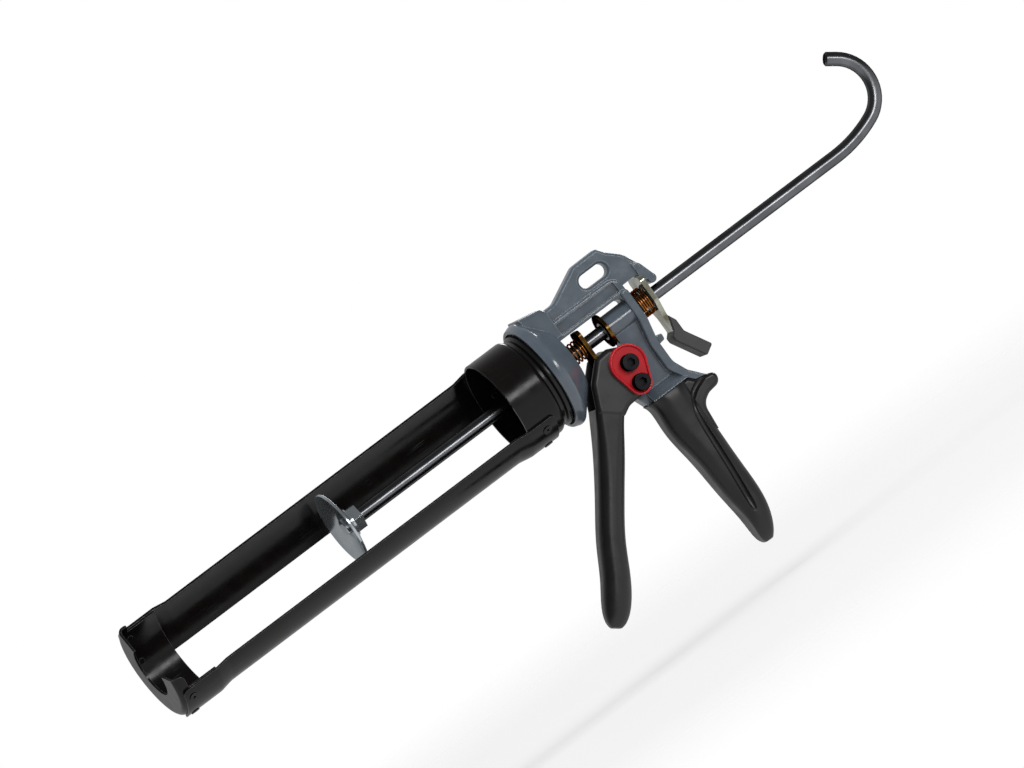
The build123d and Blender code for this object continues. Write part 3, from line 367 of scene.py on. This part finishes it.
def plated_metal(
    name,
    colour,
    tint_and_reflection_code,
    edge_wear_and_highlight_code,
    glance_code,
    roughness,
    cloud_mm,
    round_mm,
    haze=0.0,
    grain=EVEN_GRAIN,
):
    """Plated or blackened steel: clouds of a second tint, which on the bright nickel plate are
    painted dark reflections, drawing or rolling lines in the gloss, and a brighter line on the
    edges that is partly worn plate and partly a painted highlight. It has its own colour at a
    glancing angle."""
    material, tree, shader, place = start_material(name)
    normal, edges = rounded_edges(tree, round_mm)
    # On the bright nickel plate the clouds of the second tint are painted dark reflections; on the
    # other metals they are tone that varies at random.
    clouds = add_node(
        tree, "ShaderNodeTexNoise", {"Vector": place, "Scale": per_mm(cloud_mm), "Detail": 3}
    )
    cloud_share = add_node(tree, "ShaderNodeMapRange", {0: clouds, **PLATE_CLOUDS})
    tone = add_node(
        tree,
        "ShaderNodeMix",
        {0: cloud_share, 6: colour, 7: linear(tint_and_reflection_code)},
        MIXED_COLOUR,
        data_type="RGBA",
    )
    wear = add_node(
        tree, "ShaderNodeTexNoise", {"Vector": place, "Scale": per_mm(PLATE_WEAR_MM), "Detail": 3}
    )
    wear_share = add_node(tree, "ShaderNodeMapRange", {0: wear, **PLATE_WEAR})
    # Painted highlight and wear: the edge mask, broken up by noise, turns the metal to the bright
    # edge colour, partly worn plate and partly a painted highlight.
    rubbed_and_highlit_edges = add_node(tree, "ShaderNodeMath", {0: edges, 1: wear_share}, operation="MULTIPLY")
    tone = add_node(
        tree,
        "ShaderNodeMix",
        {0: rubbed_and_highlit_edges, 6: tone, 7: linear(edge_wear_and_highlight_code)},
        MIXED_COLOUR,
        data_type="RGBA",
    )
    drawn_out = add_node(tree, "ShaderNodeMapping", {"Vector": place, "Scale": grain})
    lines = add_node(
        tree, "ShaderNodeTexNoise", {"Vector": drawn_out, "Scale": per_mm(LINE_MM), "Detail": 3}
    )
    drift = {3: roughness - PLATE_GLOSSIER, 4: roughness + PLATE_DULLER}
    gloss = add_node(
        tree, "ShaderNodeMapRange", {0: lines, 1: NOISE_LOW, 2: NOISE_HIGH, **drift}
    )
    bumps = add_node(
        tree,
        "ShaderNodeBump",
        {"Height": lines, "Distance": LINE_DEPTH_MM * MM, "Normal": normal},
    )
    look = {"Base Color": tone, "Roughness": gloss, "Normal": bumps}
    fill(tree, shader, {**look, "Metallic": 1.0 - haze, "Specular Tint": linear(glance_code)})
    return material


PLASTIC_IOR = 1.48
PLASTIC_ROUND_MM = 0.6
PLASTIC_CLOUD_MM, PLASTIC_CLOUD_SHARE = 14, 0.3
PLASTIC_WEAR_MM = 3
PLASTIC_WEAR = {1: 0.4, 2: 0.65, 3: 0.1, 4: 0.7}
PLASTIC_SHEEN_MM = 9


def moulded_plastic(name, colour, pale_code, roughness, shine, grain_mm, grain_depth_mm):
    """Moulded plastic: a fine grain from the mould, drawn as coarse as it needs to show, slow
    changes in gloss and slightly paler, rounded edges, the paler line partly handling wear and
    partly a painted highlight."""
    material, tree, shader, place = start_material(name)
    normal, edges = rounded_edges(tree, PLASTIC_ROUND_MM)
    clouds = add_node(
        tree,
        "ShaderNodeTexNoise",
        {"Vector": place, "Scale": per_mm(PLASTIC_CLOUD_MM), "Detail": 3},
    )
    cloud_share = add_node(
        tree,
        "ShaderNodeMapRange",
        {0: clouds, 1: NOISE_LOW, 2: NOISE_HIGH, 3: 0.0, 4: PLASTIC_CLOUD_SHARE},
    )
    tone = add_node(
        tree,
        "ShaderNodeMix",
        {0: cloud_share, 6: colour, 7: linear(pale_code)},
        MIXED_COLOUR,
        data_type="RGBA",
    )
    wear = add_node(
        tree,
        "ShaderNodeTexNoise",
        {"Vector": place, "Scale": per_mm(PLASTIC_WEAR_MM), "Detail": 3},
    )
    wear_share = add_node(tree, "ShaderNodeMapRange", {0: wear, **PLASTIC_WEAR})
    # Painted highlight and wear: the edge mask, broken up by noise, turns the plastic to its pale
    # colour, partly handling wear and partly a painted highlight.
    handled_and_highlit_edges = add_node(tree, "ShaderNodeMath", {0: edges, 1: wear_share}, operation="MULTIPLY")
    tone = add_node(
        tree,
        "ShaderNodeMix",
        {0: handled_and_highlit_edges, 6: tone, 7: linear(pale_code)},
        MIXED_COLOUR,
        data_type="RGBA",
    )
    sheen = add_node(
        tree,
        "ShaderNodeTexNoise",
        {"Vector": place, "Scale": per_mm(PLASTIC_SHEEN_MM), "Detail": 3},
    )
    drift = {1: NOISE_LOW, 2: NOISE_HIGH, 3: roughness - GLOSSIER, 4: roughness + DULLER}
    gloss = add_node(tree, "ShaderNodeMapRange", {0: sheen, **drift})
    grain = add_node(
        tree, "ShaderNodeTexNoise", {"Vector": place, "Scale": per_mm(grain_mm), "Detail": 3}
    )
    bumps = add_node(
        tree,
        "ShaderNodeBump",
        {"Height": grain, "Distance": grain_depth_mm * MM, "Normal": normal},
    )
    look = {"Base Color": tone, "Roughness": gloss, "Normal": bumps}
    fill(tree, shader, {**look, "IOR": PLASTIC_IOR, "Specular IOR Level": shine})
    return material


def make_finish(kind, colours):
    """One of the materials, by the record's slot or by the piece that differs from its slot."""
    if kind == "black_steel":
        # Pressed sheet under satin black powder: nearly no colour, a soft sheen, pale edges that
        # are partly worn and partly a painted highlight.
        return coated_metal(
            "satin_black_powder_coat",
            colours.coated_steel,
            edge_wear_and_highlight_code="#77787a",
            roughness=0.2,
            shine=0.24,
            peel_mm=1.6,
            peel_depth_mm=0.008,
            round_mm=0.4,
            scuffs=0.4,
        )
    if kind == "grey_casting":
        # Die cast aluminium under glossy blue grey paint: small clear highlights, thin pale edge
        # lines that are partly thin paint and partly a painted highlight.
        return coated_metal(
            "blue_grey_casting_paint",
            colours.casting,
            edge_wear_and_highlight_code="#b8c3ca",
            roughness=0.16,
            shine=0.7,
            peel_mm=1.8,
            peel_depth_mm=0.02,
            round_mm=0.9,
            scuffs=0.05,
        )
    if kind == "black_casting":
        # Die cast lever under satin black paint: a broad soft sheen.
        return coated_metal(
            "satin_black_casting_paint",
            colours.trigger,
            edge_wear_and_highlight_code="#4a4b4c",
            roughness=0.34,
            shine=0.46,
            peel_mm=1.8,
            peel_depth_mm=0.015,
            round_mm=0.8,
            scuffs=0.2,
        )
    if kind == "black_grip":
        # Polypropylene from a lightly grained mould: a satin black with a soft sheen.
        return moulded_plastic(
            "satin_black_polypropylene",
            colours.grip,
            pale_code="#2c2c2c",
            roughness=0.33,
            shine=0.46,
            grain_mm=0.7,
            grain_depth_mm=0.01,
        )
    if kind == "black_collar":
        # Moulded nylon: deeper black and smoother than the grip.
        return moulded_plastic(
            "black_nylon",
            colours.collar,
            pale_code="#222223",
            roughness=0.26,
            shine=0.35,
            grain_mm=0.9,
            grain_depth_mm=0.01,
        )
    if kind == "black_dip":
        # Steel tongue dipped in soft vinyl: matt, a little grey.
        return moulded_plastic(
            "black_vinyl_dip",
            colours.tab,
            pale_code="#515152",
            roughness=0.5,
            shine=0.4,
            grain_mm=0.8,
            grain_depth_mm=0.03,
        )
    if kind == "red_plastic":
        # Moulded ABS: bright red with a clear gloss.
        return moulded_plastic(
            "gloss_red_abs",
            colours.caps,
            pale_code="#d2303a",
            roughness=0.2,
            shine=0.35,
            grain_mm=1.2,
            grain_depth_mm=0.008,
        )
    if kind == "push_rod":
        # Drawn and blued steel: a dark metal with a long highlight.
        return plated_metal(
            "blued_drawn_steel",
            colours.rod,
            tint_and_reflection_code="#646568",
            edge_wear_and_highlight_code="#8c8e91",
            glance_code="#3c3d40",
            roughness=0.25,
            cloud_mm=9,
            round_mm=0.02,
            grain=ALONG_BARREL,
        )
    if kind == "black_oxide":
        # Blackened and oiled steel of the bolts and nuts: a dark metal with dull highlights.
        return plated_metal(
            "black_oxide_steel",
            colours.oxide,
            tint_and_reflection_code="#1b1b1d",
            edge_wear_and_highlight_code="#4a4b4d",
            glance_code="#3a3a3c",
            roughness=0.3,
            cloud_mm=6,
            round_mm=0.25,
        )
    if kind == "zinc_steel":
        # Clear passivated zinc: bright, slightly blue, with a cloudy gloss.
        return plated_metal(
            "clear_zinc_plate",
            colours.zinc,
            tint_and_reflection_code="#b0b8be",
            edge_wear_and_highlight_code="#eef1f3",
            glance_code="#c4c9cd",
            roughness=0.15,
            cloud_mm=12,
            round_mm=0.15,
            haze=0.2,
        )
    if kind == "yellow_zinc":
        # Yellow passivated zinc: gold that drifts to brown.
        return plated_metal(
            "yellow_zinc_plate",
            colours.yellow_zinc,
            tint_and_reflection_code="#3d2a12",
            edge_wear_and_highlight_code="#dcb874",
            glance_code="#4a3212",
            roughness=0.19,
            cloud_mm=5,
            round_mm=0.25,
        )
    if kind == "nickel_plate":
        # Bright plate on flat steel: a pale metal with a clear gloss, and warm clouds that are
        # painted dark reflections.
        return plated_metal(
            "bright_nickel_plate",
            colours.nickel,
            tint_and_reflection_code="#8a8770",
            edge_wear_and_highlight_code="#f4f4f0",
            glance_code="#ffffff",
            roughness=0.1,
            cloud_mm=8,
            round_mm=0.3,
            haze=0.15,
        )
    # Copper washed spring wire: a warm brown metal with small highlights.
    return plated_metal(
        "copper_washed_wire",
        colours.spring_wire,
        tint_and_reflection_code="#7d4f26",
        edge_wear_and_highlight_code="#d99a58",
        glance_code="#8a5a2c",
        roughness=0.24,
        cloud_mm=3,
        round_mm=0.1,
    )


made_finishes = {}


def finish_for(context, kind):
    """A material, made once."""
    if kind not in made_finishes:
        made_finishes[kind] = make_finish(kind, context.scene.gun_finishes)
    return made_finishes[kind]


NODE_SLOTS = {sub["node"]: sub["material_slot"] for sub in frame["record"]["subparts"]}
# Pieces with a finish of their own, named for the piece.
OWN_FINISH = ("push_rod",)


def dress(context, *names):
    """Gives CAD nodes the materials of their slots."""
    for name in names:
        node = frame["nodes"][name]
        material = finish_for(context, name if name in OWN_FINISH else NODE_SLOTS[name])
        if not node.material_slots:
            node.data.materials.append(material)
        for holder in node.material_slots:
            holder.material = material


class GUN_OT_cradle(bpy.types.Operator):
    """Finishes the open cradle: front cap, rails, cup and rivets."""

    bl_idname = "gun.cradle"
    bl_label = "Cradle"

    def execute(self, context):
        dress(context, "cradle_front_cap", "cradle_rail_near", "cradle_rail_far")
        dress(context, "cradle_cup", "rail_rivets")
        return {"FINISHED"}


class GUN_OT_swivel(bpy.types.Operator):
    """Finishes the swivel between the cradle and the handle."""

    bl_idname = "gun.swivel"
    bl_label = "Swivel"

    def execute(self, context):
        dress(context, "swivel_collar", "swivel_hub", "swivel_clip")
        return {"FINISHED"}


class GUN_OT_rod(bpy.types.Operator):
    """Finishes the hooked push rod."""

    bl_idname = "gun.rod"
    bl_label = "Push rod"

    def execute(self, context):
        dress(context, "push_rod")
        return {"FINISHED"}


class GUN_OT_piston(bpy.types.Operator):
    """Finishes the dished piston and its fasteners."""

    bl_idname = "gun.piston"
    bl_label = "Piston"

    def execute(self, context):
        dress(context, "piston_disc", "disc_washer", "disc_nut", "disc_screw")
        return {"FINISHED"}


class GUN_OT_handle(bpy.types.Operator):
    """Finishes the casting, the grip's sleeve, the guide washer and the pivot bush."""

    bl_idname = "gun.handle"
    bl_label = "Handle"

    def execute(self, context):
        dress(context, "frame_casting", "grip_sleeve", "guide_washer", "pivot_bush")
        return {"FINISHED"}


class GUN_OT_trigger(bpy.types.Operator):
    """Finishes the trigger with its caps and bolts."""

    bl_idname = "gun.trigger"
    bl_label = "Trigger"

    def execute(self, context):
        dress(context, "trigger_lever", "pivot_cap_near", "pivot_cap_far")
        dress(context, "pivot_bolt", "pivot_nut", "cross_bolt", "cross_nut")
        return {"FINISHED"}


class GUN_OT_catches(bpy.types.Operator):
    """Finishes the drive plate, the release plate and its thumb tab."""

    bl_idname = "gun.catches"
    bl_label = "Drive and release plates"

    def execute(self, context):
        dress(context, "drive_plate", "release_plate", "thumb_tab")
        return {"FINISHED"}


def smooth_step(share):
    """Eases from 0 to 1."""
    share = min(1.0, max(0.0, share))
    return share * share * (3 - 2 * share)


# Pitch of a closed turn in wire thicknesses, and the turns at each end before the coil opens.
CLOSED_PITCH, CLOSED_TURNS = 1.04, 0.4
STEPS_PER_TURN = 40
SMOOTH_ANGLE = radians(40)
# The share of its length that each spring keeps at its joint's limit.
DRIVE_KEEP, RELEASE_KEEP = 0.5, 0.74


def coil_places(length, wire, turns, steps):
    """Distances along a coil at even turns, with its first and last turn closed up."""
    closed = wire * CLOSED_PITCH
    eased = []
    for i in range(steps):
        from_start = smooth_step(turns * i / steps - CLOSED_TURNS)
        to_end = smooth_step(turns * (steps - i) / steps - CLOSED_TURNS)
        eased.append(from_start * to_end)
    opened = ((length - wire) * steps / turns - closed * (steps - sum(eased))) / sum(eased)
    places = [0.0]
    for ease in eased:
        places.append(places[-1] + (closed + (opened - closed) * ease) * turns / steps)
    return places


def make_coil(name, start, end, coil, wire, turns, sides):
    """A coil spring about the barrel, turned from a round wire section by the screw modifier."""
    steps = round(turns * STEPS_PER_TURN)
    bpy.ops.object.select_all(action="DESELECT")
    bpy.ops.mesh.primitive_circle_add(
        vertices=sides,
        radius=wire / 2,
        location=(start + wire / 2, 0, coil / 2),
        rotation=(pi / 2, 0, 0),
    )
    spring = bpy.context.object
    spring.name = spring.data.name = name
    bpy.ops.object.transform_apply(location=True, rotation=True, scale=True)
    screw = spring.modifiers.new("Turns", "SCREW")
    screw.axis = "X"
    screw.angle = 2 * pi * turns
    screw.screw_offset = end - start - wire
    screw.steps = screw.render_steps = steps
    screw.use_merge_vertices = False
    bpy.ops.object.modifier_apply(modifier=screw.name)
    places = coil_places(end - start, wire, turns, steps)
    even = (end - start - wire) / steps
    for vertex in spring.data.vertices:
        ring = vertex.index // sides
        vertex.co.x += places[ring] - even * ring
    bpy.ops.object.mode_set(mode="EDIT")
    bpy.ops.mesh.select_all(action="SELECT")
    bpy.ops.mesh.fill_holes(sides=0)
    bpy.ops.mesh.select_all(action="SELECT")
    bpy.ops.mesh.normals_make_consistent(inside=False)
    bpy.ops.object.mode_set(mode="OBJECT")
    bpy.ops.object.shade_smooth_by_angle(angle=SMOOTH_ANGLE)
    return spring


class GUN_OT_springs(bpy.types.Operator):
    """Winds the drive spring and the release spring."""

    bl_idname = "gun.springs"
    bl_label = "Springs"

    def execute(self, context):
        sizes = context.scene.gun_springs
        material = finish_for(context, "copper_wire")
        drive = (sizes.drive_wire, sizes.drive_coil, sizes.drive_turns)
        release = (sizes.release_wire, sizes.release_coil, sizes.release_turns)
        coils = (
            ("drive_spring", *drive, "drive_slide", DRIVE_KEEP),
            ("release_spring", *release, "release_press", RELEASE_KEEP),
        )
        for node, wire, coil, turns, joint, keep in coils:
            low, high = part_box(node)
            name = node + "_coil"
            spring = make_coil(name, low.x, high.x, coil, wire, turns, sizes.wire_sides)
            spring.data.materials.append(material)
            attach(spring, "frame")
            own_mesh(spring)
            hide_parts(node)
        return {"FINISHED"}


# Metres from the point that the camera aims at.
KEY_PLACE = Vector((0.36, -1.25, 0.22))
TOP_UP, TOP_FORWARD = 1.2, 0.2
RIM_ALONG, RIM_UP, RIM_BACK = 0.6, 0.5, 1.0
KEY_SIZE, TOP_SIZE, RIM_SIZE = (0.9, 0.24), (1.0, 0.6), (0.9, 0.3)
FLOOR_SIZE, FLOOR_CUTS = 4, 4
FLOOR_ROUGHNESS, FLOOR_SHINE = 0.9, 0.1
CAMERA_REACH = 100
# Heights between which reflections pass from the table to the room, and depths between which they
# pass from the front to the backdrop, as parts of a unit direction.
TABLE_ENDS, ROOM_BEGINS = -0.3, 0.1
BACKDROP_BEGINS, BACKDROP_FULL = 0.1, 0.7


def camera_basis(stage):
    """The camera's right, up and backward directions in the gun's frame."""
    toward = Vector(
        (
            -sin(stage.azimuth) * cos(stage.elevation),
            -cos(stage.azimuth) * cos(stage.elevation),
            sin(stage.elevation),
        )
    )
    level = Vector((cos(stage.azimuth), -sin(stage.azimuth), 0))
    upright = toward.cross(level)
    right = level * cos(stage.roll) - upright * sin(stage.roll)
    up = level * sin(stage.roll) + upright * cos(stage.roll)
    return right, up, toward


def add_camera(scene, stage, aim, right, up, toward):
    """The camera at the photograph's viewing angle."""
    bpy.ops.object.select_all(action="DESELECT")
    bpy.ops.object.camera_add()
    camera = bpy.context.object
    camera.name = "photo_camera"
    turn = Matrix((right, up, toward)).transposed().to_4x4()
    camera.matrix_world = Matrix.Translation(aim + toward * stage.distance) @ turn
    seen_width = IMAGE_WIDTH / stage.pixels_per_mm * MM
    camera.data.lens = camera.data.sensor_width * stage.distance / seen_width
    camera.data.clip_end = CAMERA_REACH
    scene.camera = camera


def add_floor(stage):
    """The pale floor, which fades out round the gun."""
    floor_z = CAD_BOX[0].z - stage.floor_drop
    bpy.ops.mesh.primitive_grid_add(
        x_subdivisions=FLOOR_CUTS,
        y_subdivisions=FLOOR_CUTS,
        size=FLOOR_SIZE,
        location=(0, 0, floor_z),
    )
    floor = bpy.context.object
    floor.name = "floor"
    material, tree, shader, place = start_material("pale_floor")
    # Matt seamless paper, pale enough to pass into the white of the background.
    reach = add_node(tree, "ShaderNodeVectorMath", {0: place}, "Value", operation="LENGTH")
    far_edge = stage.floor_edge + stage.floor_fade
    fading = {1: stage.floor_edge, 2: far_edge, 3: stage.floor_cover, 4: 0.0}
    shown = add_node(tree, "ShaderNodeMapRange", {0: reach, **fading})
    look = {"Base Color": stage.floor_colour, "Roughness": FLOOR_ROUGHNESS, "Alpha": shown}
    fill(tree, shader, {**look, "Specular IOR Level": FLOOR_SHINE})
    floor.data.materials.append(material)
    floor.visible_glossy = False


def add_lamp(name, place, aim, along, size, power):
    """A rectangular soft lamp that faces a point, with its long side along a direction."""
    bpy.ops.object.light_add(type="AREA", location=place)
    lamp = bpy.context.object
    lamp.name = name
    back = (place - aim).normalized()
    across = back.cross(along).normalized()
    lamp.rotation_euler = Matrix((across.cross(back), across, back)).transposed().to_euler()
    lamp.data.shape = "RECTANGLE"
    lamp.data.size, lamp.data.size_y = size
    lamp.data.energy = power
    lamp.visible_camera = False
    return lamp


def add_lamps(stage, aim, toward):
    """Three soft lamps: before, over and behind the gun."""
    barrel = Vector((1, 0, 0))
    upright = toward.cross(barrel).normalized()
    add_lamp("key_lamp", aim + KEY_PLACE, aim, barrel, KEY_SIZE, stage.key_power)
    top_place = aim + upright * TOP_UP + toward * TOP_FORWARD
    top_lamp = add_lamp("top_lamp", top_place, aim, barrel, TOP_SIZE, stage.top_power)
    # It has no reflection of its own, which leaves the rod's upper side dark.
    top_lamp.visible_glossy = False
    rim_place = aim + barrel * RIM_ALONG + upright * RIM_UP - toward * RIM_BACK
    add_lamp("rim_lamp", rim_place, aim, barrel, RIM_SIZE, stage.rim_power)


def add_world(scene, stage):
    """White behind the gun, as the camera sees it. Reflections show a white table below, a dark
    room above it and the backdrop behind."""
    world = bpy.data.worlds.new("white_studio")
    scene.world = world
    world.use_nodes = True
    sky = world.node_tree
    heading = add_node(sky, "ShaderNodeTexCoord", output="Generated")
    depth = add_node(sky, "ShaderNodeSeparateXYZ", {0: heading}, "Y")
    height = add_node(sky, "ShaderNodeSeparateXYZ", {0: heading}, "Z")
    rising = {1: TABLE_ENDS, 2: ROOM_BEGINS, 3: stage.table_light, 4: stage.room_light}
    front = add_node(sky, "ShaderNodeMapRange", {0: height, **rising})
    behind = add_node(
        sky, "ShaderNodeMapRange", {0: depth, 1: BACKDROP_BEGINS, 2: BACKDROP_FULL}
    )
    mirrored = add_node(sky, "ShaderNodeMix", {0: behind, 2: front, 3: stage.backdrop_light})
    glossy = add_node(sky, "ShaderNodeLightPath", output="Is Glossy Ray")
    lit = add_node(sky, "ShaderNodeMix", {0: glossy, 2: stage.fill_light, 3: mirrored})
    straight = add_node(sky, "ShaderNodeLightPath", output="Is Camera Ray")
    through = add_node(sky, "ShaderNodeLightPath", output="Is Transmission Ray")
    seen = add_node(sky, "ShaderNodeMath", {0: straight, 1: through}, operation="MAXIMUM")
    strength = add_node(sky, "ShaderNodeMix", {0: seen, 2: lit, 3: 1.0})
    fill(sky, sky.nodes["Background"], {"Color": linear("#ffffff"), "Strength": strength})


class GUN_OT_stage(bpy.types.Operator):
    """Sets up the floor, the soft light and the camera."""

    bl_idname = "gun.stage"
    bl_label = "Stage"

    def execute(self, context):
        stage = context.scene.gun_stage
        right, up, toward = camera_basis(stage)
        aim = up * stage.aim_down - right * stage.aim_right
        add_camera(context.scene, stage, aim, right, up, toward)
        add_floor(stage)
        add_lamps(stage, aim, toward)
        add_world(context.scene, stage)
        context.scene.view_settings.view_transform = "Standard"
        return {"FINISHED"}


class GUN_PT_sidebar(bpy.types.Panel):
    """Lists the steps and their settings."""

    bl_label = "Caulking gun"
    bl_idname = "GUN_PT_sidebar"
    bl_space_type = "VIEW_3D"
    bl_region_type = "UI"
    bl_category = "Caulking gun"

    def draw(self, context):
        for step in STEPS:
            self.layout.operator(step.bl_idname)
        for group_name in GROUPS:
            group = getattr(context.scene, group_name)
            box = self.layout.box()
            for name in group.__annotations__:
                box.prop(group, name)


STEPS = (
    GUN_OT_cradle,
    GUN_OT_swivel,
    GUN_OT_rod,
    GUN_OT_piston,
    GUN_OT_handle,
    GUN_OT_trigger,
    GUN_OT_catches,
    GUN_OT_springs,
    GUN_OT_stage,
)
GROUPS = {"gun_finishes": GunFinishes, "gun_springs": GunSprings, "gun_stage": GunStage}


def register():
    """Registers the settings, the steps and the sidebar."""
    for name, group in GROUPS.items():
        bpy.utils.register_class(group)
        setattr(bpy.types.Scene, name, PointerProperty(type=group))
    for step in STEPS:
        bpy.utils.register_class(step)
    bpy.utils.register_class(GUN_PT_sidebar)


def unregister():
    """Takes out what register put in."""
    bpy.utils.unregister_class(GUN_PT_sidebar)
    for step in reversed(STEPS):
        bpy.utils.unregister_class(step)
    for name, group in GROUPS.items():
        delattr(bpy.types.Scene, name)
        bpy.utils.unregister_class(group)


def main():
    """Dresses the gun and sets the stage."""
    register()
    for step in STEPS:
        group, name = step.bl_idname.split(".")
        getattr(getattr(bpy.ops, group), name)()


if __name__ == "__main__":
    main()
